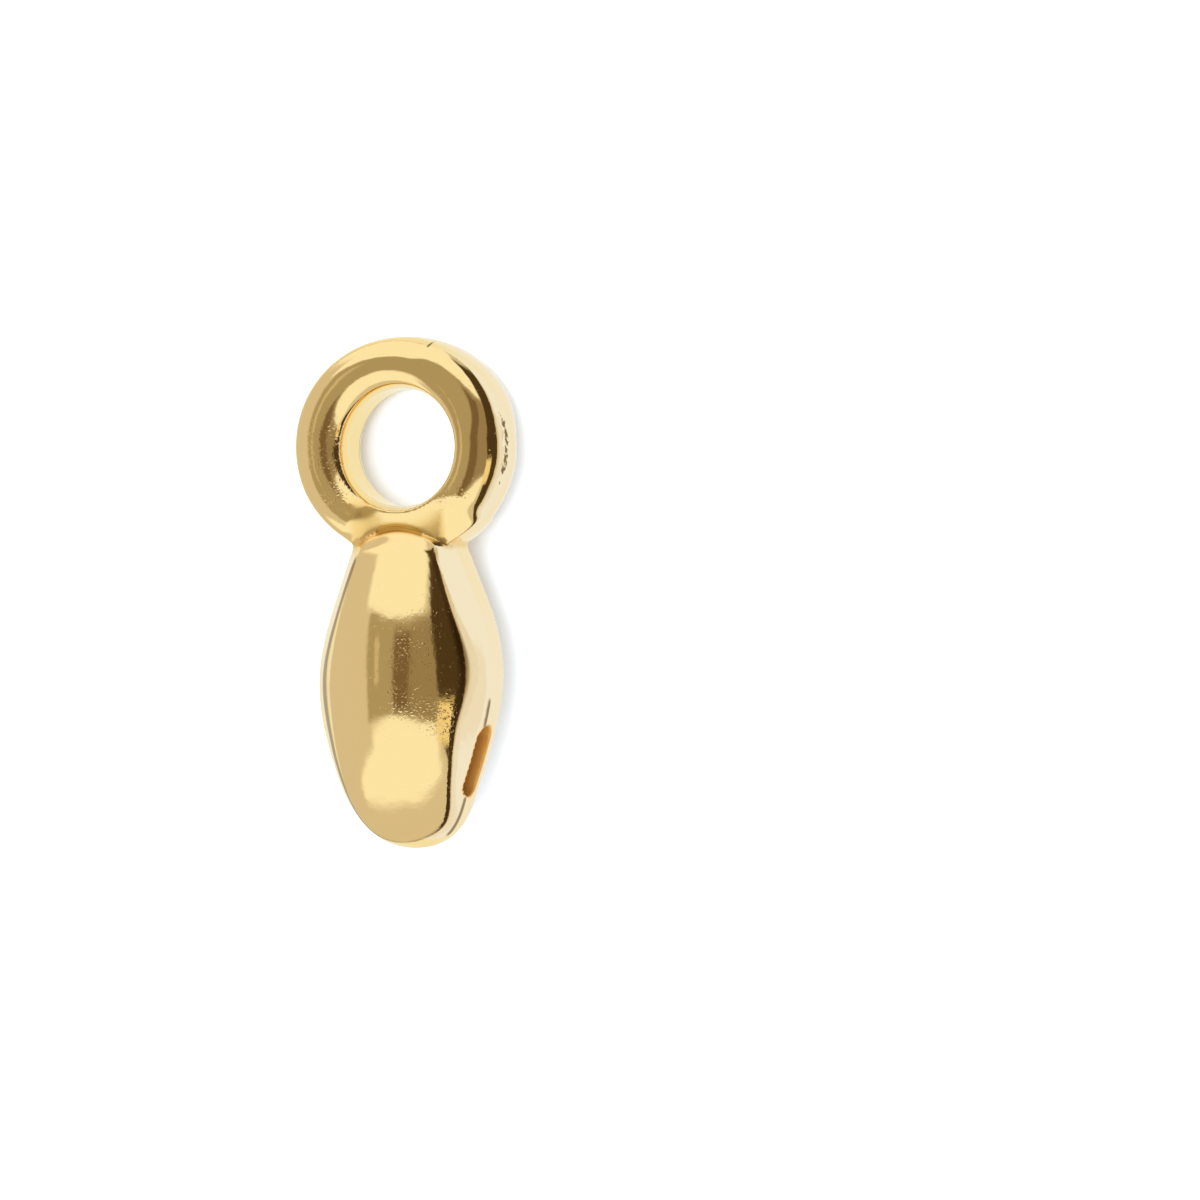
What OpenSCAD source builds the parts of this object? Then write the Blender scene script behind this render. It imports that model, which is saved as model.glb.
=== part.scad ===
// Jewellery end cap, cast in one piece: a flat round loop, a short neck and a domed pod.
// It lies on its back: +Z is up, +Y runs from the pod to the loop, X is side to side.
// The origin is at the middle of the space it takes up, at the height of the surface it lies on.

/* [Whole part] */
// Length from the top of the loop to the tip of the pod
total_l = 8; // [7.6:0.1:8.6]

/* [Loop] */
// Outer diameter of the loop
loop_d = 3.46; // [3.3:0.02:3.7]
// Thickness of the loop over the crowns of its two faces
loop_t = 1.14; // [1:0.02:1.2]
// Width of the outer band of the loop, from edge to edge
band_w = 0.76; // [0.6:0.02:0.84]
// Height of the bulge of the outer band
band_bulge = 0.03; // [0.02:0.01:0.06]
// Diameter of the round hole
hole_d = 1.76; // [1.6:0.02:1.86]
// Length of the straight wall of the round hole
hole_wall_l = 0.32; // [0.26:0.02:0.5]
// Diameter of the round hole at its two mouths
mouth_d = 1.98; // [1.94:0.02:2.1]

/* [Pod] */
// Width of the pod over its rim
pod_w = 2.92; // [2.8:0.02:3.1]
// Thickness of the pod over the crowns of its two domes
pod_t = 2.34; // [2.1:0.02:2.5]
// Reach of the pod from its widest place to its tip
tip_reach = 2.65; // [2.55:0.01:2.75]
// Reach of the pod from its widest place into the loop
top_reach = 2.4; // [2.3:0.01:2.46]
// Width of each domed face, from crease to crease
face_w = 2.36; // [2.2:0.02:2.44]
// Thickness of the rim between the two creases, at the widest place
rim_t = 1.22; // [1.1:0.02:1.3]
// Thickness of the upright side in the middle of the rim
side_t = 0.48; // [0.3:0.02:0.6]
// How much a flank of the rim comes in for each millimetre towards an end
rim_slope = 0.38; // [0.3:0.01:0.4]
// How much a flank of the domed face comes in for each millimetre towards an end
face_slope = 0.3; // [0.26:0.01:0.34]
// Length over which the two flanks turn into each other at the widest place
flank_turn = 0.8; // [0.5:0.05:1]
// Share of the rim's thickness that is gone at the tip
tip_thinning = 0.5; // [0.3:0.05:0.6]
// Share of the rim's thickness that is gone at the neck
top_thinning = 0; // [0:0.05:0.1]

/* [Neck] */
// Width of the neck
neck_w = 1.9; // [1.8:0.02:2.04]
// Thickness of the neck, whose two sides are half round
neck_t = 0.8; // [0.7:0.02:0.96]

/* [Thread slot] */
// Length of the slot along the part
slot_l = 1.16; // [1:0.02:1.24]
// Width of the slot from front to back
slot_w = 0.44; // [0.36:0.02:0.5]
// Distance of the middle of the slot from the widest place of the pod
slot_y = 1.3; // [1.2:0.02:1.36]
// How far the slot lies in front of the middle of the rim
slot_up = 0.12; // [0:0.01:0.14]

/* [Hidden] */

gold = "#d9b56c";

// Fineness of round edges, and of the arcs in the loop's outline
$fn = 96;
arc_steps = 8;
// Rings and columns of the pod's skin
around_steps = 72;
dome_steps = 7;
rim_steps = 10;

// Bluntness of the rim's two ends, and of the crease at the tip and at the neck
rim_blunt = 10;
tip_blunt = 10;
top_blunt = 24;
// Distance of the crease from the end of the rim, at the tip and at the neck
tip_crease_gap = 0.09;
top_crease_gap = 0.11;
// How suddenly the rim thins towards its ends
thinning_power = 4;
// Roundness of the two edges of the rim's upright side
side_r = 0.06;

// Where the neck starts inside the pod
neck_start = 1.4;

loop_y = total_l - loop_d / 2 - tip_reach;

// The loop's outline is a list of [distance from its axis, height] points.
// An arc goes from one point to another and bulges out by a given height.
function arc_r(chord, rise) = (chord * chord / 4 + rise * rise) / (2 * rise);
function arc_points(from, to, rise) =
    let (
        chord = norm(to - from),
        r = arc_r(chord, rise),
        along = (to - from) / chord,
        out = [along[1], -along[0]],
        centre = (from + to) / 2 + out * (rise - r),
        half = asin(chord / 2 / r)
    )
    [for (i = [0:arc_steps]) let (a = -half + 2 * half * i / arc_steps)
        centre + r * (sin(a) * along + cos(a) * out)];

// How much higher the edge of a mouth lies than the edge of the outer band
mouth_lift = 0.07;
// Rise of the small arc between the straight wall of the hole and its mouth
mouth_rise = 0.02;

band_r = loop_d / 2 - band_bulge;
mouth_z = band_w / 2 + mouth_lift;

// The arc of a face goes through the edges of band and mouth and is level where it reaches the crown
band_fall = loop_t / 2 - band_w / 2;
mouth_fall = loop_t / 2 - mouth_z;
crown_a = 1 / band_fall - 1 / mouth_fall;
crown_b = -2 * (band_r / band_fall - mouth_d / 2 / mouth_fall);
crown_c = band_r * band_r / band_fall - pow(mouth_d / 2, 2) / mouth_fall + band_fall - mouth_fall;
crown_r = (-crown_b - sqrt(crown_b * crown_b - 4 * crown_a * crown_c)) / (2 * crown_a);
face_r = (pow(band_r - crown_r, 2) + band_fall * band_fall) / (2 * band_fall);
face_rise = face_r
    - norm([(band_r + mouth_d / 2) / 2 - crown_r, (band_w / 2 + mouth_z) / 2 - loop_t / 2 + face_r]);

function upper_outline() = concat(
    arc_points([band_r, band_w / 2], [mouth_d / 2, mouth_z], face_rise),
    arc_points([mouth_d / 2, mouth_z], [hole_d / 2, hole_wall_l / 2], mouth_rise));
function flip(points) = [for (i = [len(points) - 1:-1:0]) [points[i][0], -points[i][1]]];
loop_outline = concat(
    arc_points([band_r, -band_w / 2], [band_r, band_w / 2], band_bulge),
    upper_outline(),
    flip(upper_outline()));

// Half widths of the pod: straight flanks that turn softly at the widest place and end bluntly.
// The column angle a is 0 at the right flank, 90 at the neck and 270 at the tip.
function flank(half_w, slope, y) =
    half_w - slope * (sqrt(y * y + flank_turn * flank_turn) - flank_turn);
function outline_point(a, half_w, slope, top, tip, blunt) =
    let (
        y = sin(a) * (sin(a) > 0 ? top : tip),
        end = sqrt(max(0, 1 - pow(abs(sin(a)), blunt)))
    )
    [sign(cos(a)) * flank(half_w, slope, y) * end, y];
function rim_point(a) =
    outline_point(a, pod_w / 2, rim_slope, top_reach, tip_reach, rim_blunt);
function crease_point(a) =
    outline_point(a, face_w / 2, face_slope, top_reach - top_crease_gap, tip_reach - tip_crease_gap,
        sin(a) > 0 ? top_blunt : tip_blunt);
function crease_z(a) =
    let (loss = sin(a) > 0 ? top_thinning : tip_thinning)
    rim_t / 2 * (1 - loss * pow(abs(sin(a)), thinning_power));

// A point of the rim: v goes from -1 at the back crease over 0 in the middle to 1 at the front crease.
// The rim stays upright at its middle and falls in beyond the two edges of its side.
function edge_fall(t) = (t + sqrt(t * t + side_r * side_r)) / 2;
function rim_fall(v) = edge_fall((abs(v) * rim_t - side_t) / 2) - edge_fall(-side_t / 2);
function rim_skin(a, v) =
    let (
        z = crease_z(a) * v,
        inward = rim_fall(v) / rim_fall(1),
        place = rim_point(a) * (1 - inward) + crease_point(a) * inward
    )
    [place[0], place[1], z];

// A point of a dome: s goes from 0 at the crown to 1 at the crease, side is 1 in front and -1 behind
function dome_skin(a, s, side) =
    let (place = crease_point(a) * s)
    [place[0], place[1], side * (pod_t / 2 - (pod_t / 2 - crease_z(a)) * s * s)];

function column_angle(i) = 360 * i / around_steps;
pod_rings = concat(
    [for (k = [1:dome_steps - 1])
        [for (i = [0:around_steps - 1]) dome_skin(column_angle(i), k / dome_steps, -1)]],
    [for (k = [0:rim_steps])
        [for (i = [0:around_steps - 1]) rim_skin(column_angle(i), 2 * k / rim_steps - 1)]],
    [for (k = [dome_steps - 1:-1:1])
        [for (i = [0:around_steps - 1]) dome_skin(column_angle(i), k / dome_steps, 1)]]);
ring_count = len(pod_rings);
pod_points = concat(
    [for (ring = pod_rings) each ring],
    [[0, 0, -pod_t / 2], [0, 0, pod_t / 2]]);
back_crown = ring_count * around_steps;
front_crown = back_crown + 1;
function skin_index(ring, i) = ring * around_steps + i % around_steps;
pod_faces = concat(
    [for (i = [0:around_steps - 1]) [back_crown, skin_index(0, i), skin_index(0, i + 1)]],
    [for (ring = [0:ring_count - 2]) for (i = [0:around_steps - 1]) each [
        [skin_index(ring, i), skin_index(ring + 1, i), skin_index(ring + 1, i + 1)],
        [skin_index(ring, i), skin_index(ring + 1, i + 1), skin_index(ring, i + 1)]]],
    [for (i = [0:around_steps - 1])
        [front_crown, skin_index(ring_count - 1, i + 1), skin_index(ring_count - 1, i)]]);

// Lying on its back, the part leans until the crown of the back dome and the far edge of the loop
// are at the same height. Each function gives the lowest height of its form at a given lean.
function loop_low(lean) =
    -(loop_y + crown_r) * sin(lean) - (loop_t / 2 - face_r) * cos(lean) - face_r;
dome_rise = pod_t / 2 - crease_z(90);
dome_reach = top_reach - top_crease_gap;
function pod_low(lean) =
    -pod_t / 2 * cos(lean) - pow(dome_reach * sin(lean), 2) / (4 * dome_rise * cos(lean));
function find_lean(low, high, steps) =
    let (mid = (low + high) / 2)
    steps == 0 ? mid
    : loop_low(mid) > pod_low(mid) ? find_lean(mid, high, steps - 1)
    : find_lean(low, mid, steps - 1);
lean = find_lean(0, 20, 24);

far_y = max([for (p = loop_outline) (loop_y + p[0]) * cos(lean) + p[1] * sin(lean)]);
tip_y = min([for (p = pod_points) p[1] * cos(lean) + p[2] * sin(lean)]);

module loop() {
    translate([0, loop_y, 0]) rotate_extrude() polygon(loop_outline);
}

module pod() {
    polyhedron(points = pod_points, faces = pod_faces, convexity = 4);
}

// A short flat bar with half-round sides, from inside the pod to inside the loop's wall
module neck() {
    length = loop_y - mouth_d / 2 - neck_start;
    side_x = (neck_w - neck_t) / 2;
    translate([0, neck_start + length / 2, 0]) {
        cube([2 * side_x, length, neck_t], center = true);
        for (side = [-1, 1])
            translate([side * side_x, 0, 0]) rotate([90, 0, 0])
                cylinder(h = length, d = neck_t, center = true);
    }
}

// An oblong hole from side to side through the lower rim of the pod, a little in front of its middle
module thread_slot() {
    between = slot_l - slot_w;
    through = pod_w + 1;
    translate([0, -slot_y, slot_up]) {
        for (side = [-1, 1])
            translate([0, side * between / 2, 0]) rotate([0, 90, 0])
                cylinder(h = through, d = slot_w, center = true);
        cube([through, between, slot_w], center = true);
    }
}

module end_cap() {
    color(gold)
        translate([0, -(far_y + tip_y) / 2, -pod_low(lean)]) rotate([-lean, 0, 0])
            difference() {
                union() {
                    loop();
                    neck();
                    pod();
                }
                thread_slot();
            }
}

end_cap();
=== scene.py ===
import bpy
import math
from mathutils import Matrix, Vector


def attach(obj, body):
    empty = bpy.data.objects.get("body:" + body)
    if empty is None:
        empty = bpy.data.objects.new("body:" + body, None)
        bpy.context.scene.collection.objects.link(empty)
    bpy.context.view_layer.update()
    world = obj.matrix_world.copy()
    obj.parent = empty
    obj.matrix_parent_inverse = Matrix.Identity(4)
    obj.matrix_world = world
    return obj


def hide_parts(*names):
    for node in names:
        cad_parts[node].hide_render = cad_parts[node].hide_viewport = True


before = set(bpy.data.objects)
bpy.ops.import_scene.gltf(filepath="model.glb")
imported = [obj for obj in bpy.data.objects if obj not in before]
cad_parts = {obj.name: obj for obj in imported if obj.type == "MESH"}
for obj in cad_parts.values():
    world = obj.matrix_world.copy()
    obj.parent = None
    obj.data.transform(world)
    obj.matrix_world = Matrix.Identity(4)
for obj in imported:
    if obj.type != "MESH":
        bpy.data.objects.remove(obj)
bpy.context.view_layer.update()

# The end cap is worked out in millimetres in its own flat frame: the origin is at the widest place of the
# pod, +Y runs to the loop, +Z faces the camera. Then it is leaned back onto the floor as the solid lies.
mm = 0.001


# Adds a node with its settings and its inputs, which are values, formulas or the outputs of other nodes
def addNode(tree, kind, settings=None, inputs=None):
    node = tree.nodes.new(kind)
    for name, value in (settings or {}).items():
        setattr(node, name, value)
    for key, value in (inputs or {}).items():
        if isinstance(value, Term):
            value = value.socket
        if isinstance(value, bpy.types.NodeSocket):
            tree.links.new(value, node.inputs[key])
        else:
            node.inputs[key].default_value = value
    return node


# A number in a node tree that can be written as a formula: each sum or product adds a Math node to the tree
# that is worked on
class Term:
    tree = None

    def __init__(self, socket):
        self.socket = socket

    def calc(self, operation, *others):
        return Term(addNode(Term.tree, "ShaderNodeMath", {"operation": operation},
                            dict(enumerate([self, *others]))).outputs[0])

    def __add__(self, other):
        return self.calc("ADD", other)

    def __sub__(self, other):
        return self.calc("SUBTRACT", other)

    def __mul__(self, other):
        return self.calc("MULTIPLY", other)

    def __truediv__(self, other):
        return self.calc("DIVIDE", other)

    def __pow__(self, other):
        return self.calc("POWER", other)

    def __neg__(self):
        return self * -1.0

    def __rsub__(self, other):
        return -self + other

    def __abs__(self):
        return self.calc("ABSOLUTE")

    def root(self):
        return self.calc("SQRT")

    def atLeast(self, other):
        return self.calc("MAXIMUM", other)

    def atMost(self, other):
        return self.calc("MINIMUM", other)

    # 0 at the first value and 1 at the second, with a soft step between. The first may be the larger one.
    def step(self, none, full):
        return Term(addNode(Term.tree, "ShaderNodeMapRange", {"interpolation_type": "SMOOTHSTEP"},
                            {0: self, 1: none, 2: full}).outputs[0])


def mix(first, second, share):
    return first + (second - first) * share


def length(*sides):
    total = sides[0] * sides[0]
    for side in sides[1:]:
        total = total + side * side
    return total.root()


# What two forms have in common, and the two joined. Forms are distances, and rounding is that of their edge.
def common(first, second, rounding):
    return first.calc("SMOOTH_MAX", second, rounding)


def joined(first, second, rounding):
    return first.calc("SMOOTH_MIN", second, rounding)


def axesOf(place):
    return [Term(output) for output in addNode(Term.tree, "ShaderNodeSeparateXYZ", None, {0: place}).outputs]


# Noise between 0 and 1 with so many waves to the millimetre
def noiseAt(place, perMm, detail):
    return Term(addNode(Term.tree, "ShaderNodeTexNoise", None,
                        {"Vector": place, "Scale": perMm, "Detail": detail}).outputs[0])


def mixColours(share, first, second):
    return addNode(Term.tree, "ShaderNodeMix", {"data_type": "RGBA"},
                   {0: share, 6: first, 7: second}).outputs[2]


# Millimetres, apart from slopes, bends, shares and powers
capSizes = {
    "Loop Place": 3.63,             # the loop's middle, from the pod's widest place
    "Loop Off Centre": -0.031,
    "Loop Radius": 1.73,
    "Loop Crown": 0.57,             # height of its faces at their highest ring
    "Crown Radius": 1.27,           # radius of that ring
    "Crown Wander": 0.09,           # how far the ring lies towards the left
    "Face Roundness": 0.56,         # radius of the faces' roundness
    "Right Rounding": 0.065,        # what the radius gains at the right
    "Shoulder Fullness": 0.7,       # what the power of 2 in that roundness gains at the upper right
    "Neck Face Height": 0.56,       # height of the face that falls towards the pod,
    "Neck Face Radius": 1.0,        # so far from the loop's middle
    "Neck Face Slope": 0.28,
    "Band Half Width": 0.38,
    "Band Bulge": 0.03,             # how far the outer band has fallen back at its half width
    "Band Stretch": 0.065,          # how much farther out the band lies at the sides
    "Band Across": 0.02,            # how far its middle lies towards the right
    "Band Down": 0.014,
    "Hole Drop": 0.028,             # how far the hole lies towards the neck
    "Hole Radius": 0.925,
    "Hole Wall Half Length": 0.27,  # of the straight wall between the mouths
    "Mouth Radius": 0.965,
    "Mouth Height": 0.43,           # where the mouth has this radius
    "Mouth Round": 0.06,
    "Crease Round": 0.05,
    "Pod Half Width": 1.475,
    "Face Half Width": 1.18,        # of the dome, from its middle to the crease
    "Dome Height": 1.17,
    "Rim Half Thickness": 0.61,
    "Rim Slope": 0.38,              # how fast the rim narrows towards the ends
    "Face Slope": 0.3,              # how fast the dome does
    "Top Face Bend": 0.085,
    "Flank Turn": 0.8,              # how slowly the flanks turn at the widest place
    "Top Reach": 2.4,
    "Tip Reach": 2.665,
    "Top Crease Gap": 0.11,         # between the ends of rim and dome
    "Top Drop": 0.11,               # how far the dome falls at its upper end
    "Top Arch": 0.5,                # bend of the dome's upper end, 1 / mm
    "Tip Crease Gap": 0.09,
    "Tip Thinning": 0.5,            # share of its thickness that the rim loses at the tip
    "Side Half Thickness": 0.25,    # of the rim's upright side
    "Side Round": 0.05,
    "Side Height": -0.06,           # height of its middle line
    "Tip Sway": 0.11,               # how far the rim lies towards the right at the tip,
    "Pod Sway": 0.03,               # and the pod above its middle
    "Tip Sway Back": 0.7,           # share of the pod's sway that goes the other way near the tip
    "Crease Sway": 0.6,             # share of the pod's sway that the crease has
    "Top Narrowing": 0.05,
    "Tip Widening": 0.03,
    "Top End Round": 0.08,
    "Dome Crease Round": 0.012,
    "Dome End Round": 0.07,
    "Crease Groove Depth": 0.018,
    "Crease Groove Width": 0.03,
    "Neck Place": 2.0,
    "Neck Half Length": 0.6,
    "Neck Half Thickness": 0.42,
    "Neck Straight From": 2.2,      # where its flanks stop drawing in
    "Neck Flare From": 2.15,
    "Neck Flare": 0.35,             # slope at which the neck widens towards the loop
    "Neck Round": 0.13,             # of the join with the loop, at the sides
    "Neck Front Round": 0.12,
    "Neck Left Round": 0.16,        # what that gains at the left
    "Neck Edge Round": 0.08,        # of the join with the pod
    "Groove Place": 2.34,
    "Groove Across": 0.03,
    "Groove Half Length": 0.33,
    "Groove Height": 0.5,
    "Groove Radius": 0.03,
    "Groove Taper": 0.03,
    "Groove Round": 0.04,
    "Slot Place": -1.29,
    "Slot Height": 0.09,
    "Slot Half Length": 0.545,
    "Slot Half Width": 0.18,
    "Slot Round": 0.03,
    # Lines of painted dark reflection
    "Dark Reflection Width": 0.04,
    "Dark Reflection Narrowing": 2.3,     # how much narrower the line is on the rim than on the dome
    "Dark Reflection Shift": 0.045,       # what moves it onto the rim along the left side
    "Swell Height": 0.022,
    "Swell Scale": 1.1,             # waves to the millimetre
    "Peel Height": 0.0022,
    "Peel Scale": 4.5,
    "Gate Across": 1.85,            # the mark of the gate, where the metal flowed in
    "Gate Along": 3.6,
    "Gate Spread": 0.95,            # how far the mark reaches from there
    "Gate Radius": 1.745,           # the ring on which it lies, from the loop's middle
    "Gate Bow Along": 3.62,
    "Gate Bow": 0.05,               # 1 / mm
    "Gate Half Width": 0.045,
    "Gate Roughness": 0.045,
}

# Where a feature begins and where it is full, in mm along the axis that its formula names
capSpans = {
    "outsideCrown": (-0.1, 0.1),
    "topHalf": (-0.1, 0.1),
    "topDrop": (1.93, 2.35),
    "tipWidening": (0.0, -1.3),
    "topNarrowing": (0.6, 1.9),
    "podSway": (-0.9, 0.9),
    "topSway": (0.9, 2.4),
    "tipSwayBack": (0.0, -1.3),
    "tipSway": (-1.5, -2.6),
    "domeEnd": (1.75, 2.1),
    "darkReflectionFade": (2.0, 1.8),
    "darkReflectionLeft": (-0.3, -0.9),
    "darkReflectionLeftEnd": (-1.9, -1.2),
    "darkReflectionRight": (0.2, 0.5),
    "darkReflectionAboveSlot": ((-0.25, -0.4), (-0.85, -0.7)),
    "darkReflectionBelowSlot": ((-1.8, -1.9), (-2.5, -2.4)),
    "neckEdge": (0.3, 0.42),
    "neckMiddle": (0.7, 0.5),
    "neckLeft": (-0.15, -0.55),
    "neckFront": (0.2, 0.4),
    "gateFront": (-0.1, 0.05),
    "domeTop": (0.63, 0.7),
}

# Sectors of the loop: each points right and up from its middle, and begins and is full at these cosines of
# the angle to that direction
loopSectors = {
    "neck": {"right": 0.174, "up": -0.985, "span": (0.72, 0.92)},
    "shoulder": {"right": 0.74, "up": 0.67, "span": (0.78, 0.97)},
}

# Spots of rough casting, in mm
domeSpots = [
    {"across": 0.39, "along": 0.35, "radius": 0.5, "strength": 1.0},
    {"across": 0.39, "along": -0.3, "radius": 0.5, "strength": 1.0},
    {"across": 0.35, "along": 0.2, "radius": 1.2, "strength": 0.35},
    {"across": 1.0, "along": 0.95, "radius": 0.5, "strength": 0.55},
    {"across": 0.93, "along": -0.65, "radius": 0.55, "strength": 1.0},
]
loopSpots = [
    {"across": -1.2, "along": 3.6, "radius": 0.65, "strength": 1.0},
    {"across": -0.98, "along": 2.85, "radius": 0.4, "strength": 1.0},
    {"across": 0.88, "along": 2.85, "radius": 0.45, "strength": 0.9},
]
spotCore = 0.35         # share of a spot's radius inside which it is at its full strength


# The loop: two crowned faces, an outer band that bulges a little, and a hole that widens at its mouths.
# It comes with the distance from its axis and a line of painted dark reflection at the far end of the hole's
# wall.
def loopForm(size, x, y, z):
    height = abs(z)
    loopX = x - size["Loop Off Centre"]
    loopY = y - size["Loop Place"]
    nearestUsed = 0.5       # mm, nearer to the middle there is no metal and no sharp direction
    fromAxis = length(loopX, loopY)
    toRight = loopX / fromAxis.atLeast(nearestUsed)
    toTop = loopY / fromAxis.atLeast(nearestUsed)

    def inSector(name):
        sector = loopSectors[name]
        return (toRight * sector["right"] + toTop * sector["up"]).step(*sector["span"])

    crown = size["Crown Radius"] - size["Crown Wander"] * toRight
    rounding = size["Face Roundness"] + size["Right Rounding"] * toRight.atLeast(0.0) ** 2.0
    outside = (fromAxis - crown).step(*capSpans["outsideCrown"])
    power = size["Shoulder Fullness"] * inSector("shoulder") * outside + 2.0
    outward = abs(fromAxis - crown) / rounding
    upward = abs(height - size["Loop Crown"] + rounding) / rounding
    face = ((outward ** power + upward ** power) ** (power ** -1.0) - 1.0) * rounding
    slope = size["Neck Face Slope"]
    fallingFace = ((height - size["Neck Face Height"] + slope * (fromAxis - size["Neck Face Radius"]))
                   / length(slope, 1.0))
    face = mix(face, fallingFace, inSector("neck"))

    bandX = loopX - size["Band Across"]
    fromBand = length(bandX, loopY + size["Band Down"]).atLeast(nearestUsed)
    band = (fromBand - size["Loop Radius"] - size["Band Stretch"] * (bandX / fromBand) ** 2.0
            + size["Band Bulge"] * (height / size["Band Half Width"]) ** 2.0)

    mouthDepth = size["Mouth Height"] - size["Hole Wall Half Length"]
    flare = ((height - size["Hole Wall Half Length"]) / mouthDepth).atLeast(0.0)
    hole = (mix(size["Hole Radius"], size["Mouth Radius"], flare)
            - length(loopX, loopY + size["Hole Drop"]))
    loop = common(common(face, band, size["Crease Round"]), hole, size["Mouth Round"])
    darkReflectionEnd = 1.0 - length(z + size["Hole Wall Half Length"], hole) / size["Dark Reflection Width"]
    return loop, fromAxis, darkReflectionEnd


# Half the width of the pod or the neck: inward is 0 on the rim's upright side and 1 at the crease
def halfWidth(size, y, atTop, inward, flare):
    turn = length(y, size["Flank Turn"]) - size["Flank Turn"]
    side = size["Pod Half Width"] - size["Rim Slope"] * turn
    crease = (size["Face Half Width"] - size["Face Slope"] * turn
              - size["Top Face Bend"] * atTop * turn * turn + flare)
    return mix(side, crease, inward)


# The dome on each side of the pod. Its bends are such that it meets the rim at the crease.
def domeForm(size, x, y, z, endHeight, creaseReach):
    acrossBend = (size["Dome Height"] - size["Rim Half Thickness"]) / size["Face Half Width"] ** 2.0
    alongBend = (size["Dome Height"] - endHeight) / creaseReach ** 2.0
    domeTop = (size["Dome Height"] - acrossBend * x * x - alongBend * y * y
               - size["Top Drop"] * y.step(*capSpans["topDrop"]))
    return (abs(z) - domeTop) / length(acrossBend * x * 2.0, alongBend * y * 2.0, 1.0)


# How far the rim has fallen in. It stays upright at its middle and falls in beyond the edges of this side.
def rimInward(size, offSide, edgeHeight):
    def fall(beyondSide):
        return (beyondSide + length(beyondSide, size["Side Round"])) * 0.5

    farthest = 1.8
    here = abs(offSide) / edgeHeight * size["Rim Half Thickness"] - size["Side Half Thickness"]
    atCrease = size["Rim Half Thickness"] - size["Side Half Thickness"]
    return (fall(here) / fall(atCrease)).atMost(farthest)


# The rim of the pod: its tip end is a blunt oval, and its top end is cut off along an arch
def rimForm(size, x, y, atTop, inward, reach, creaseReach):
    atSide = (1.0 - inward).atLeast(0.0)
    slimmest = 0.1          # mm
    widening = (size["Tip Widening"] * y.step(*capSpans["tipWidening"])
                - size["Top Narrowing"] * y.step(*capSpans["topNarrowing"]))
    flank = halfWidth(size, y, atTop, inward, 0.0).atLeast(slimmest) + widening * atSide
    sway = size["Pod Sway"] * (y.step(*capSpans["podSway"]) - y.step(*capSpans["topSway"])
                               - size["Tip Sway Back"] * y.step(*capSpans["tipSwayBack"]))
    swayed = (x - sway * mix(size["Crease Sway"], 1.0, atSide)
              - size["Tip Sway"] * y.step(*capSpans["tipSway"]) * atSide)

    blunt = 10.0
    leastGrowth = 0.6
    endReach = mix(reach, creaseReach, inward)
    endShare = abs(y) / endReach
    oval = (swayed / flank) ** 2.0 + endShare ** blunt - 1.0
    growth = length(swayed * 2.0 / (flank * flank), endShare ** (blunt - 1.0) * blunt / endReach)
    tipHalf = oval / growth.atLeast(leastGrowth)
    topEnd = y + size["Top Arch"] * x * x - endReach
    topHalf = common(abs(swayed) - flank, topEnd, size["Top End Round"])
    return mix(tipHalf, topHalf, atTop)


# Painted dark reflection in lines: beside the crease, and along the front edge of the rim's side next to the
# slot
def darkReflectionLines(size, x, y, dome, rim, offEdge):
    besideCrease = (dome * size["Dark Reflection Narrowing"] + size["Dark Reflection Shift"]
                    * x.step(*capSpans["darkReflectionLeft"]) * y.step(*capSpans["darkReflectionLeftEnd"]))
    creaseLine = 1.0 - length(besideCrease, rim) / size["Dark Reflection Width"]
    edgeLine = 1.0 - length(offEdge, rim) / size["Dark Reflection Width"]
    alongSlot = (y.step(*capSpans["darkReflectionAboveSlot"][0]) * y.step(*capSpans["darkReflectionAboveSlot"][1])
                 + y.step(*capSpans["darkReflectionBelowSlot"][0]) * y.step(*capSpans["darkReflectionBelowSlot"][1]))
    strongest = creaseLine.atLeast(edgeLine * alongSlot * x.step(*capSpans["darkReflectionRight"]))
    return strongest * y.step(*capSpans["darkReflectionFade"])


# The pod: domes and rim. It comes with how far in the rim has fallen and with its lines of painted dark
# reflection.
def podForm(size, x, y, z):
    atTop = y.step(*capSpans["topHalf"])
    reach = mix(size["Tip Reach"], size["Top Reach"], atTop)
    creaseReach = reach - mix(size["Tip Crease Gap"], size["Top Crease Gap"], atTop)
    thinning = size["Tip Thinning"] * (1.0 - atTop)
    thinningPower = 4.0     # the rim keeps its thickness for long and loses it near the tip
    edgeHeight = size["Rim Half Thickness"] * (1.0 - thinning * (abs(y) / size["Tip Reach"]) ** thinningPower)
    endHeight = size["Rim Half Thickness"] * (1.0 - thinning)
    offSide = z - size["Side Height"] * (1.0 - abs(z) / size["Rim Half Thickness"]).atLeast(0.0)
    inward = rimInward(size, offSide, edgeHeight)

    dome = domeForm(size, x, y, z, endHeight, creaseReach)
    rim = rimForm(size, x, y, atTop, inward, reach, creaseReach)
    pod = common(dome, rim, size["Dome Crease Round"] + size["Dome End Round"] * y.step(*capSpans["domeEnd"]))

    # A fine groove runs along the crease, where the plate gathers
    offCrease = length(dome, rim) / size["Crease Groove Width"]
    pod = pod + size["Crease Groove Depth"] * (1.0 - offCrease).atLeast(0.0)
    offEdge = offSide - edgeHeight * size["Side Half Thickness"] / size["Rim Half Thickness"]
    return pod, inward, darkReflectionLines(size, x, y, dome, rim, offEdge)


# The neck: the rim's flanks go on into the loop
def neckForm(size, x, y, z, inward):
    flare = size["Neck Flare"] * (y - size["Neck Flare From"]).atLeast(0.0)
    flank = halfWidth(size, y.atMost(size["Neck Straight From"]), 1.0, inward, flare) - size["Top Narrowing"]
    bar = common(abs(x) - flank, abs(z) - size["Neck Half Thickness"], size["Crease Round"])
    return bar.atLeast(abs(y - size["Neck Place"]) - size["Neck Half Length"])


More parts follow.
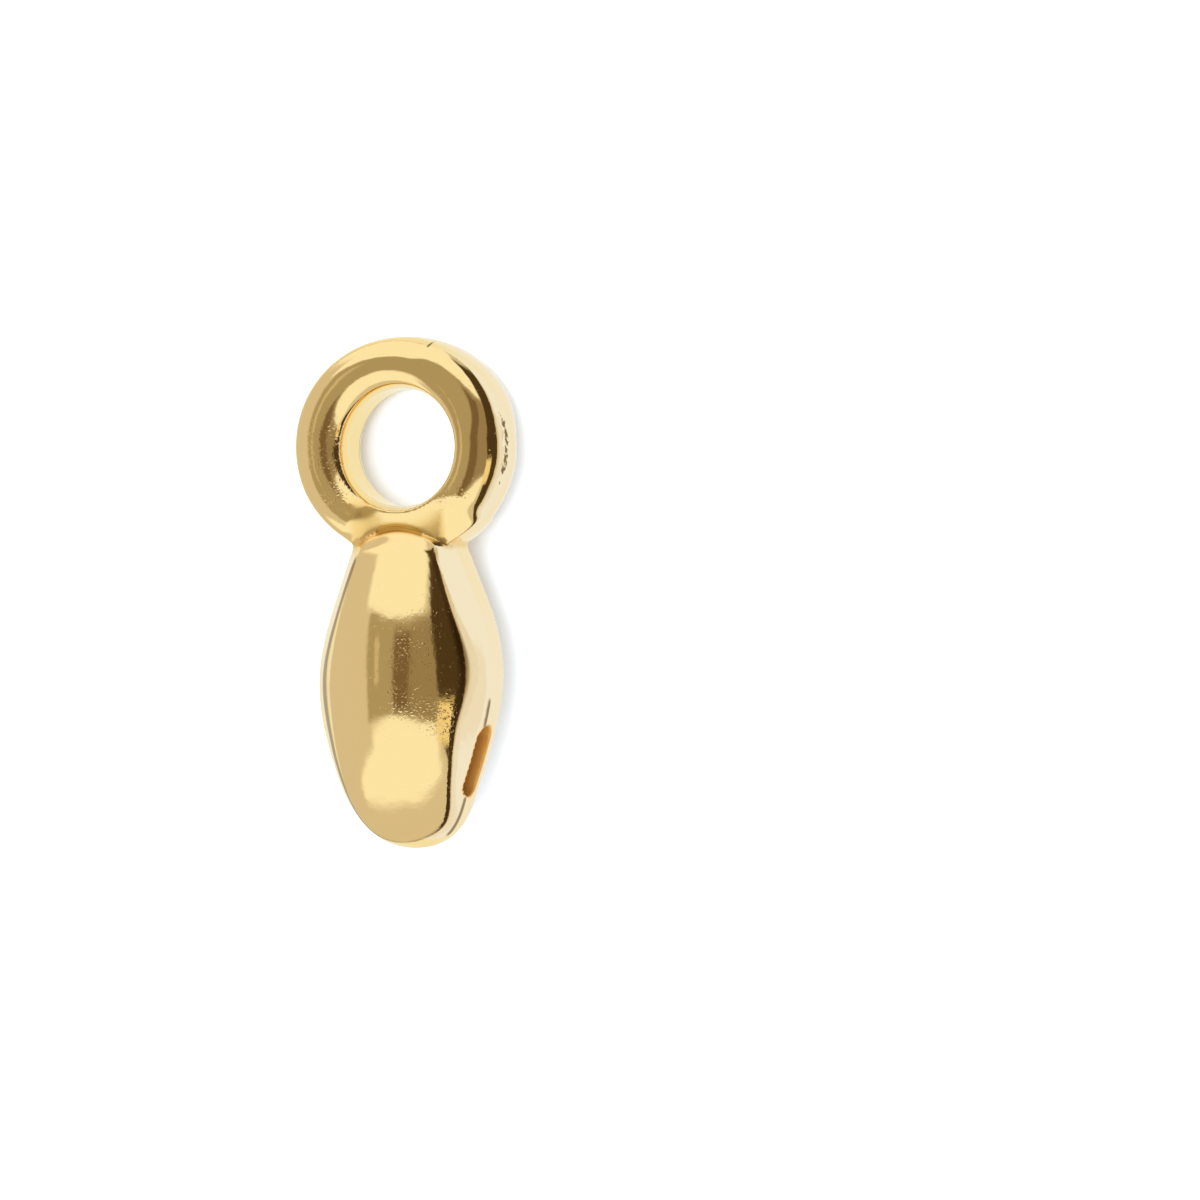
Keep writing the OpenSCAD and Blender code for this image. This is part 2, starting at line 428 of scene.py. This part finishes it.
# A shallow groove where the dome ends against the loop's face
def neckGroove(size, x, y, z):
    grooveX = (abs(x - size["Groove Across"]) - size["Groove Half Length"]).atLeast(0.0)
    grooveY = y - size["Groove Place"] + size["Top Arch"] * x * x
    grooveZ = abs(z) - size["Groove Height"]
    return length(grooveX, grooveY, grooveZ) - size["Groove Radius"] + size["Groove Taper"] * x


# The thread slot, which runs from side to side
def slotForm(size, y, z):
    lengthways = abs(y - size["Slot Place"]) - size["Slot Half Length"] + size["Slot Half Width"]
    return length(lengthways.atLeast(0.0), z - size["Slot Height"]) - size["Slot Half Width"]


# A round spot that fades towards its radius
def spotAt(x, y, across, along, radius):
    return (length(x - across, y - along) / radius).step(1.0, spotCore)


def spotsAt(x, y, spots):
    strongest = x * 0.0
    for spot in spots:
        here = spotAt(x, y, spot["across"], spot["along"], spot["radius"])
        strongest = strongest.atLeast(here * spot["strength"])
    return strongest


# The mark of the gate at the loop's right side: a narrow bow on the outer band, towards the front
def gateMark(size, x, y, z, fromAxis):
    bow = size["Gate Bow"] * (y - size["Gate Bow Along"]) ** 2.0
    offMark = abs(fromAxis - size["Gate Radius"] + bow) / size["Gate Half Width"]
    reached = spotAt(x, y, size["Gate Across"], size["Gate Along"], size["Gate Spread"])
    return reached * (1.0 - offMark).atLeast(0.0) * z.step(*capSpans["gateFront"])


# The form of the cap as one node group: it takes a place and gives the distance to the metal's surface, and
# with it what the finish has to know about the place
def makeFormGroup():
    group = bpy.data.node_groups.new("capForm", "GeometryNodeTree")
    group.interface.new_socket("Place", in_out="INPUT", socket_type="NodeSocketVector")
    for name, value in capSizes.items():
        group.interface.new_socket(name, in_out="INPUT", socket_type="NodeSocketFloat").default_value = value
    start = addNode(group, "NodeGroupInput")
    Term.tree = group
    size = {name: Term(start.outputs[name]) for name in capSizes}
    place = start.outputs["Place"]
    x, y, z = axesOf(place)
    height = abs(z)

    # Pod and neck run into each other, rounded only at the middle in front. The loop's join is rounded all
    # round, and most at the left in front.
    loop, fromAxis, darkReflectionEnd = loopForm(size, x, y, z)
    pod, inward, darkReflection = podForm(size, x, y, z)
    tightest = 0.001        # mm
    edgeRound = (size["Neck Edge Round"] * height.step(*capSpans["neckEdge"])
                 * abs(x).step(*capSpans["neckMiddle"]) + tightest)
    podAndNeck = joined(pod, neckForm(size, x, y, z, inward), edgeRound)
    frontRound = size["Neck Front Round"] + size["Neck Left Round"] * x.step(*capSpans["neckLeft"])
    neckRound = mix(size["Neck Round"], frontRound, height.step(*capSpans["neckFront"]))
    body = joined(loop, podAndNeck, neckRound)

    # Recess is 1 in the corners, and 2 in the groove, which gets a darker painted shade of its own
    recess = (1.0 - abs(loop - podAndNeck) / neckRound).atLeast(0.0)
    groove = neckGroove(size, x, y, z)
    inGroove = 2.0
    atGrooveWall = 2.6
    recess = recess.atLeast((atGrooveWall - groove / size["Groove Radius"]).atMost(inGroove))
    body = common(body, -groove, size["Groove Round"])
    slot = slotForm(size, y, z)
    body = common(body, -slot, size["Slot Round"])

    # Casting leaves the skin a little uneven, and rough at the gate
    def uneven(scale, detail):
        return noiseAt(place, scale, detail) - 0.5

    gate = gateMark(size, x, y, z, fromAxis)
    body = (body + uneven(size["Swell Scale"], detail=0.0) * size["Swell Height"]
            + uneven(size["Peel Scale"], detail=1.0) * size["Peel Height"]
            + gate * uneven(size["Peel Scale"], detail=2.0) * size["Gate Roughness"])
    onDome = spotsAt(x, y, domeSpots) * height.step(*capSpans["domeTop"])
    pitted = onDome.atLeast(spotsAt(x, y, loopSpots))
    endStrength = 0.5       # of the line of painted dark reflection in the hole
    darkReflection = darkReflection.atLeast(darkReflectionEnd * endStrength).atLeast(0.0)

    results = {"Distance": body, "From Slot": slot, "Recess": recess, "Pitted": pitted, "Gate": gate,
               "Dark Reflection": darkReflection}
    for name in results:
        group.interface.new_socket(name, in_out="OUTPUT", socket_type="NodeSocketFloat")
    addNode(group, "NodeGroupOutput", None, dict(enumerate(results.values())))
    return group


surfacing = {
    "gridSpacing": 0.033,               # mm between the points where the form is first sampled
    "sampledLow": (-1.9, -2.8, -1.35),  # mm, corners of the space that is sampled
    "sampledHigh": (1.9, 5.5, 1.35),
    "settlingRounds": 3,    # how often the skin's points are moved onto the exact surface
    "slopeProbe": 0.002,    # mm, half the distance between the two samples that give a slope
    "leastSteepness": 0.1,  # of the slope's square, so that no point leaps where the form is flat
}

# Attributes of the skin that the finish reads, and the form's outputs that they hold
skinMarks = {"slotWall": "From Slot", "recess": "Recess", "pitted": "Pitted", "gate": "Gate", "darkReflection": "Dark Reflection"}


# The skin: the form is sampled on a grid, turned to a mesh, and its points settle on the exact surface
def makeSkinTree(form):
    tree = bpy.data.node_groups.new("capSkin", "GeometryNodeTree")
    tree.interface.new_socket("Geometry", in_out="INPUT", socket_type="NodeSocketGeometry")
    for name, value in capSizes.items():
        tree.interface.new_socket(name, in_out="INPUT", socket_type="NodeSocketFloat").default_value = value
    tree.interface.new_socket("Material", in_out="INPUT", socket_type="NodeSocketMaterial")
    tree.interface.new_socket("Geometry", in_out="OUTPUT", socket_type="NodeSocketGeometry")
    start = addNode(tree, "NodeGroupInput")
    sizes = {name: start.outputs[name] for name in capSizes}
    place = addNode(tree, "GeometryNodeInputPosition").outputs[0]

    def formAt(where):
        return addNode(tree, "GeometryNodeGroup", {"node_tree": form}, {"Place": where, **sizes}).outputs

    def vectorMath(operation, inputs, output="Vector"):
        return addNode(tree, "ShaderNodeVectorMath", {"operation": operation}, inputs).outputs[output]

    Term.tree = tree
    inside = -Term(formAt(place)["Distance"])
    low, high = Vector(surfacing["sampledLow"]), Vector(surfacing["sampledHigh"])
    counts = [round(side / surfacing["gridSpacing"]) for side in high - low]
    grid = addNode(tree, "GeometryNodeVolumeCube", None, {
        "Density": inside, "Background": -1.0, "Min": low, "Max": high,
        "Resolution X": counts[0], "Resolution Y": counts[1], "Resolution Z": counts[2]})
    skin = addNode(tree, "GeometryNodeVolumeToMesh", None,
                   {"Volume": grid.outputs[0], "Threshold": 0.0}).outputs[0]

    # The slope of the distance gives the surface's direction at each point
    probe = surfacing["slopeProbe"]
    parts = []
    for axis in range(3):
        offset = [0.0, 0.0, 0.0]
        samples = []
        for side in (probe, -probe):
            offset[axis] = side
            moved = vectorMath("ADD", {0: place, 1: tuple(offset)})
            samples.append(Term(formAt(moved)["Distance"]))
        parts.append(samples[0] - samples[1])
    difference = addNode(tree, "ShaderNodeCombineXYZ", None, dict(enumerate(parts))).outputs[0]
    slope = vectorMath("SCALE", {0: difference, "Scale": 0.5 / probe})
    steepness = Term(vectorMath("DOT_PRODUCT", {0: slope, 1: slope}, "Value"))
    back = inside / steepness.atLeast(surfacing["leastSteepness"])
    settle = vectorMath("SCALE", {0: slope, "Scale": back})
    for _ in range(surfacing["settlingRounds"]):
        skin = addNode(tree, "GeometryNodeSetPosition", None, {"Geometry": skin, "Offset": settle}).outputs[0]

    skin = addNode(tree, "GeometryNodeSetShadeSmooth", None, {"Geometry": skin}).outputs[0]
    normals = addNode(tree, "GeometryNodeSetMeshNormal", {"mode": "FREE", "domain": "POINT"}, {"Mesh": skin})
    tree.links.new(vectorMath("NORMALIZE", {0: slope}), normals.inputs["Custom Normal"])
    marked = normals.outputs[0]
    for name, output in skinMarks.items():
        marked = addNode(tree, "GeometryNodeStoreNamedAttribute", {"data_type": "FLOAT", "domain": "POINT"},
                         {"Geometry": marked, "Name": name, "Value": formAt(place)[output]}).outputs[0]
    real = addNode(tree, "GeometryNodeRealizeInstances", None, {0: marked}).outputs[0]
    dressed = addNode(tree, "GeometryNodeSetMaterial", None,
                      {"Geometry": real, "Material": start.outputs["Material"]})
    addNode(tree, "NodeGroupOutput", None, {0: dressed.outputs[0]})
    return tree


# Turns an sRGB hex colour to the linear colour that Blender works with
def linearColour(hexText, strength=1.0):
    parts = [int(hexText[i:i + 2], 16) / 255 for i in (0, 2, 4)]
    linear = [p / 12.92 if p <= 0.04045 else ((p + 0.055) / 1.055) ** 2.4 for p in parts]
    return (*(strength * part for part in linear), 1.0)


goldFinish = {
    "gold": "FFE2A0",
    "recessPaintedShade": "F8D284",     # painted shade, deeper in the corners at the neck
    # painted shade, darker again in the neck's groove
    "groovePaintedShade": "D8A650",
    # painted orange interreflection on the slot's wall
    "slotPaintedReflection": "E0A854",
    "darkReflectionGold": "74480A",       # painted dark reflection along the crease, the rim's edge by the slot and the hole's far end
    "darkReflectionShare": 0.8,
    "cornerSpan": (0.1, 0.8),   # recess at which the corners' painted shade begins and is full,
    "grooveSpan": (1.0, 1.6),   # and the groove's
    "darkReflectionSpan": (0.05, 0.6),
    "polished": 0.07,           # roughness of the tumbled outside
    "recessed": 0.3,            # roughness in the corners at the neck
    "inGroove": 0.15,           # what the groove adds to it
    "insideSlot": 0.42,         # roughness of the slot's wall, which no polishing reaches
    "slotMetalLoss": 0.3,       # how much less metallic the slot's wall looks
    "slotSpan": (0.05, 0.015),  # mm from the slot's wall, where its finish begins and is full
    "peelHeight": 0.0005,       # mm, height of the faint orange peel
    "peelPerMm": 10.0,
    "grainHeight": 0.00035,     # mm, height of the fine grain in the plate
    "grainPerMm": 28.0,
    "smoothGrain": 0.6,         # share of the grain on smooth casting
    "roughGrain": 1.5,          # what rough casting adds to it
    "gritHeight": 0.008,        # mm, height of the grit where the casting was rough
    "gritPerMm": 24.0,
    "gritRare": 0.73,           # noise above this is grit
    "gritThicker": 0.2,         # how much lower it may be where the casting was rough
    "hollowPerMm": 24.0,
    "hollowDrawn": (1.0, 0.45, 1.0),    # the hollows are drawn out along the rim
    "hollowDepth": 0.01,        # mm
    "gateStrength": 0.56,       # what the gate adds to the hollows' noise
    "stainSpan": (0.86, 1.0),
    "gateStain": "8C6A36",      # residue in the gate mark's hollows, and the darker tone of the nick
    "nickPlace": (0.51, 3.86),  # mm, as the part lies
    "nickDirection": (0.67, 0.74),
    "nickHalfLength": 0.055,
    "nickHalfWidth": 0.022,
    "nickDepth": 0.012,
    "nickFade": (1.0, 0.2),
    "nickSpan": (0.72, 0.8),    # mm over the floor, so that it lies only on top
}


# Bright gold plate over cast zinc: a warm yellow mirror that shows the lamps as pale fields and the dark
# room between them, with a breath of orange peel, so that the outlines of what it mirrors waver
def makeGoldPlate():
    material = bpy.data.materials.new("goldPlateOverCastZinc")
    material.use_nodes = True
    tree = material.node_tree
    tree.nodes.clear()
    Term.tree = tree
    slotWall, recess, pitted, gate, darkReflection = (
        Term(addNode(tree, "ShaderNodeAttribute", {"attribute_name": name}).outputs["Fac"])
        for name in ("slotWall", "recess", "pitted", "gate", "darkReflection"))

    # Patterns are measured in millimetres of the part
    corner = addNode(tree, "ShaderNodeTexCoord").outputs["Object"]
    place = addNode(tree, "ShaderNodeVectorMath", {"operation": "SCALE"},
                    {0: corner, "Scale": 1.0 / mm}).outputs[0]
    x, y, z = axesOf(place)

    # The gate mark's hollows keep some residue
    drawnOut = addNode(tree, "ShaderNodeVectorMath", {"operation": "MULTIPLY"},
                       {0: place, 1: goldFinish["hollowDrawn"]}).outputs[0]
    hollows = noiseAt(drawnOut, goldFinish["hollowPerMm"], detail=3.0)
    stained = (hollows + gate * goldFinish["gateStrength"]).step(*goldFinish["stainSpan"])

    # A nick on top of the loop
    nickX, nickY = goldFinish["nickPlace"]
    right, up = goldFinish["nickDirection"]
    alongNick = ((x - nickX) * right + (y - nickY) * up) / goldFinish["nickHalfLength"]
    acrossNick = ((x - nickX) * up - (y - nickY) * right) / goldFinish["nickHalfWidth"]
    offNick = alongNick * alongNick + acrossNick * acrossNick
    nick = offNick.step(*goldFinish["nickFade"]) * z.step(*goldFinish["nickSpan"])

    # The tones of the plate, each over the ones before: painted shade in the corners at the neck and darker
    # in the groove, painted orange interreflection on the slot's wall, lines of painted dark reflection, and
    # the residue in the gate mark's hollows and the nick's darker tone
    inSlot = slotWall.step(*goldFinish["slotSpan"])
    inGroove = recess.step(*goldFinish["grooveSpan"])
    plate = linearColour(goldFinish["gold"])
    for share, colour in (
            (recess.step(*goldFinish["cornerSpan"]), "recessPaintedShade"),
            (inGroove, "groovePaintedShade"),
            (inSlot, "slotPaintedReflection"),
            (darkReflection.step(*goldFinish["darkReflectionSpan"]) * goldFinish["darkReflectionShare"], "darkReflectionGold"),
            (stained, "gateStain"),
            (nick, "gateStain")):
        plate = mixColours(share, plate, linearColour(goldFinish[colour]))
    roughness = inSlot * (goldFinish["insideSlot"] - goldFinish["polished"]) + goldFinish["polished"]
    roughness = (mix(roughness, goldFinish["recessed"], recess.atMost(1.0))
                 + inGroove * goldFinish["inGroove"])

    # Grit lies thick where the casting was rough, and almost nowhere else
    grit = (noiseAt(place, goldFinish["gritPerMm"], detail=1.0) + pitted * goldFinish["gritThicker"]
            - goldFinish["gritRare"]).atLeast(0.0)
    grain = pitted * goldFinish["roughGrain"] + goldFinish["smoothGrain"]
    height = (noiseAt(place, goldFinish["peelPerMm"], detail=1.0) * goldFinish["peelHeight"]
              + noiseAt(place, goldFinish["grainPerMm"], detail=2.0) * goldFinish["grainHeight"] * grain
              + grit * goldFinish["gritHeight"]
              - stained * goldFinish["hollowDepth"] - nick * goldFinish["nickDepth"])
    relief = addNode(tree, "ShaderNodeBump", None, {"Strength": 1.0, "Distance": mm, "Height": height})
    metal = addNode(tree, "ShaderNodeBsdfPrincipled", None, {
        "Base Color": plate, "Metallic": 1.0 - inSlot * goldFinish["slotMetalLoss"],
        "Roughness": roughness, "Normal": relief.outputs[0]})
    addNode(tree, "ShaderNodeOutputMaterial", None, {"Surface": metal.outputs[0]})
    return material


goldPlate = makeGoldPlate()
print("gold plate ready")

# How the solid lies, as its own source works it out: it leans back until dome and loop touch the floor, and
# then moves to its place
restLean = math.radians(7.33363)
restShift = Vector((0.0, -1.34445, 1.19889))    # mm
partToWorld = Matrix.Scale(mm, 4) @ Matrix.Translation(restShift) @ Matrix.Rotation(-restLean, 4, "X")


# Sets a modifier's inputs by their sockets' identifiers, from a dictionary of names and values
def setInputs(modifier, values):
    for item in modifier.node_group.interface.items_tree:
        if item.item_type == "SOCKET" and item.in_out == "INPUT" and item.name in values:
            modifier[item.identifier] = values[item.name]


def makeCasting():
    seed = bpy.data.objects.new("castingSeed", bpy.data.meshes.new("castingSeed"))
    bpy.context.scene.collection.objects.link(seed)
    modifier = seed.modifiers.new("skin", "NODES")
    modifier.node_group = makeSkinTree(makeFormGroup())
    setInputs(modifier, {**capSizes, "Material": goldPlate})
    graph = bpy.context.evaluated_depsgraph_get()
    mesh = bpy.data.meshes.new_from_object(seed.evaluated_get(graph), depsgraph=graph)
    bpy.data.objects.remove(seed)
    mesh.name = "endCapCasting"
    mesh.transform(partToWorld)
    piece = bpy.data.objects.new("endCapCasting", mesh)
    bpy.context.scene.collection.objects.link(piece)
    return piece


casting = makeCasting()
print("casting:", len(casting.data.polygons), "faces")
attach(casting, "root")
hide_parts("end_cap")

studio = {
    "viewTurn": 20.36,          # degrees that the camera stands round to the right, to see the rim's side
    "lens": 200.0,              # mm
    "sensor": 36.0,             # mm
    "clip": (0.005, 10.0),      # m
    "pixelsPerMm": 63.9,        # of the photograph
    "podAcross": 409.5,         # pixel of the pod's widest place in the photograph, from its left edge
    "podDown": 678.0,           # and from its top edge
    "photoSide": 1200,
    "floorHalf": 0.6,           # m
    "floorColour": "EDEFF4",
    "floorMirrored": ("FBFFFB", 0.95),          # painted reflection: the glow that the sheet gives in the metal, not its lit look,
    "floorMirroredRight": ("C9D5FF", 1.55),     # how it does at the right,
    "tableMirrored": ("FFF9F4", 0.68),          # and a darker table beyond its left edge, painted into that glow
    "sheetEnd": (-0.0075, -0.0055),             # m from the part's middle
    "coolStart": (0.0005, 0.0030),
    "skyColour": "EFF7FF",      # the even light all round
    "skyLight": 1.6,
    "keyLight": 3.6,            # W per square metre, the soft lamp at the upper left
    "keyWidth": 50.0,           # degrees
    "keyFrom": (-0.1, 0.12, 1.0),   # direction towards the lamp
}


# A sheet of white acrylic, matt and pale to the camera. To glossy rays it glows instead, a painted reflection
# without shade: cool at the right, neutral near the part, and ending in a darker table at the left.
def makeWhiteAcrylic():
    material = bpy.data.materials.new("whiteAcrylicSheet")
    material.use_nodes = True
    tree = material.node_tree
    tree.nodes.clear()
    Term.tree = tree
    sheet = addNode(tree, "ShaderNodeBsdfDiffuse", None, {"Color": linearColour(studio["floorColour"])})
    across = axesOf(addNode(tree, "ShaderNodeNewGeometry").outputs["Position"])[0]

    def passed(span):
        return addNode(tree, "ShaderNodeMapRange", None, {0: across, 1: span[0], 2: span[1]}).outputs[0]

    sheetSeen = mixColours(passed(studio["coolStart"]), linearColour(*studio["floorMirrored"]),
                           linearColour(*studio["floorMirroredRight"]))
    seen = mixColours(passed(studio["sheetEnd"]), linearColour(*studio["tableMirrored"]), sheetSeen)
    # Glossy rays see the sheet glow in these colours: a painted reflection that shows none of the part's
    # shade
    mirrored = addNode(tree, "ShaderNodeEmission", None, {"Color": seen})
    rays = addNode(tree, "ShaderNodeLightPath")
    either = addNode(tree, "ShaderNodeMixShader", None,
                     {0: rays.outputs["Is Glossy Ray"], 1: sheet.outputs[0], 2: mirrored.outputs[0]})
    addNode(tree, "ShaderNodeOutputMaterial", None, {"Surface": either.outputs[0]})
    return material


def makeFloor():
    half = studio["floorHalf"]
    mesh = bpy.data.meshes.new("studioFloor")
    mesh.from_pydata([(-half, -half, 0), (half, -half, 0), (half, half, 0), (-half, half, 0)], [],
                     [(0, 1, 2, 3)])
    mesh.materials.append(makeWhiteAcrylic())
    floor = bpy.data.objects.new("studioFloor", mesh)
    bpy.context.scene.collection.objects.link(floor)


# The camera looks at the flat frame as it did for the photograph, and stands where the lens asks
def makeCamera():
    turn = math.radians(studio["viewTurn"])
    toCamera = Vector((math.sin(turn), 0, math.cos(turn)))
    right = Vector((math.cos(turn), 0, -math.sin(turn)))
    up = Vector((0, 1, 0))
    half = studio["photoSide"] / 2
    aim = (right * (half - studio["podAcross"]) + up * (studio["podDown"] - half)) / studio["pixelsPerMm"]
    distance = studio["lens"] * studio["photoSide"] / studio["pixelsPerMm"] / studio["sensor"]
    data = bpy.data.cameras.new("photoCamera")
    data.lens = studio["lens"]
    data.sensor_width = studio["sensor"]
    data.clip_start, data.clip_end = studio["clip"]
    camera = bpy.data.objects.new("photoCamera", data)
    bpy.context.scene.collection.objects.link(camera)
    facing = Matrix((right, up, toCamera)).transposed().to_4x4()
    standing = partToWorld @ Matrix.Translation(aim + toCamera * distance) @ facing
    turned = standing.to_quaternion().to_matrix().to_4x4()
    camera.matrix_world = Matrix.Translation(standing.to_translation()) @ turned
    bpy.context.scene.camera = camera


# What the metal mirrors, in degrees as seen from the cap: across from left to right and along from the tip
# towards the loop, 0 being straight above it. Each panel lies over the ones before it. Soft is how far its
# edges blur, lean turns its left edge, tilt its upper one, and sag (amount, middle) bends its lower edge.
studioPanels = [
    {"across": (-180, 80), "along": (-90, 90), "soft": (6, 6), "light": ("FFF9F4", 0.68)},
    {"across": (-112, 30), "along": (36, 95), "soft": (6, 6), "light": ("FFFEFF", 1.02)},
    {"across": (-53, 31), "along": (23, 95), "soft": (3, 2), "light": ("F9FCFF", 1.04)},
    {"across": (-77, 46), "along": (-54.5, -18), "soft": (4, 3), "light": ("F9FCFF", 1.04),
     "sag": (19, -2), "tilt": 0.11},
    {"across": (-180, -42), "along": (-28, 20), "soft": (5, 2), "light": ("FFF9F4", 0.68)},
    {"across": (-46, 46), "along": (-19, 23), "soft": (3, 2), "light": ("FFF1D2", 0.42)},
    {"across": (-34, -27), "along": (-2, 14), "soft": (1.5, 2), "light": ("FFF4DC", 0.60)},
    {"across": (18, 46), "along": (-17, 21), "soft": (2, 3), "light": ("FFE9C6", 0.31)},
    {"across": (-4, 18), "along": (-16, 18), "soft": (3, 4), "light": ("FFDAAE", 0.19)},
    {"across": (43.5, 74), "along": (-90, 60), "soft": (1.2, 5), "light": ("FFD095", 0.07),
     "lean": -0.3},
    {"across": (45, 59), "along": (-26, -8), "soft": (1.5, 2), "light": ("FFF0C8", 0.9)},
]
beyondPanels = ("D4DCFF", 1.3)      # the cool daylight at the far right
sagPower = 2.5


def makeWorld():
    world = bpy.data.worlds.new("softStudio")
    bpy.context.scene.world = world
    world.use_nodes = True
    tree = world.node_tree
    tree.nodes.clear()
    Term.tree = tree
    towards = addNode(tree, "ShaderNodeTexCoord").outputs["Generated"]
    turned = addNode(tree, "ShaderNodeVectorRotate", {"rotation_type": "X_AXIS"},
                     {"Vector": towards, "Angle": restLean})
    x, y, z = axesOf(turned.outputs[0])
    across = x.calc("ARCTAN2", z) * math.degrees(1)
    along = y.calc("ARCSINE") * math.degrees(1)
    light = linearColour(*beyondPanels)
    for panel in studioPanels:
        (left, right), (low, high), (softX, softY) = panel["across"], panel["along"], panel["soft"]
        leaned = across - along * panel.get("lean", 0.0)
        rising = along - across * panel.get("tilt", 0.0)
        sagging = along
        if "sag" in panel:
            amount, middle = panel["sag"]
            outward = ((across - middle).atLeast(0.0) / (right - middle)
                       + (middle - across).atLeast(0.0) / (middle - left))
            sagging = along - outward ** sagPower * amount
        inside = (leaned.step(left - softX, left + softX) * across.step(right + softX, right - softX)
                  * sagging.step(low - softY, low + softY) * rising.step(high + softY, high - softY))
        light = mixColours(inside, light, linearColour(*panel["light"]))
    mirrored = addNode(tree, "ShaderNodeBackground", None, {"Color": light, "Strength": 1.0})
    plain = addNode(tree, "ShaderNodeBackground", None, {
        "Color": linearColour(studio["skyColour"]), "Strength": studio["skyLight"]})
    rays = addNode(tree, "ShaderNodeLightPath")
    either = addNode(tree, "ShaderNodeMixShader", None,
                     {0: rays.outputs["Is Glossy Ray"], 1: plain.outputs[0], 2: mirrored.outputs[0]})
    addNode(tree, "ShaderNodeOutputWorld", None, {"Surface": either.outputs[0]})


def makeKeyLight():
    data = bpy.data.lights.new("keyLight", "SUN")
    data.energy = studio["keyLight"]
    data.angle = math.radians(studio["keyWidth"])
    lamp = bpy.data.objects.new("keyLight", data)
    bpy.context.scene.collection.objects.link(lamp)
    lamp.rotation_euler = Vector(studio["keyFrom"]).to_track_quat("Z", "Y").to_euler()
    lamp.visible_glossy = False


makeFloor()
makeCamera()
makeWorld()
makeKeyLight()
bpy.context.scene.view_settings.view_transform = "Standard"
print("studio ready")
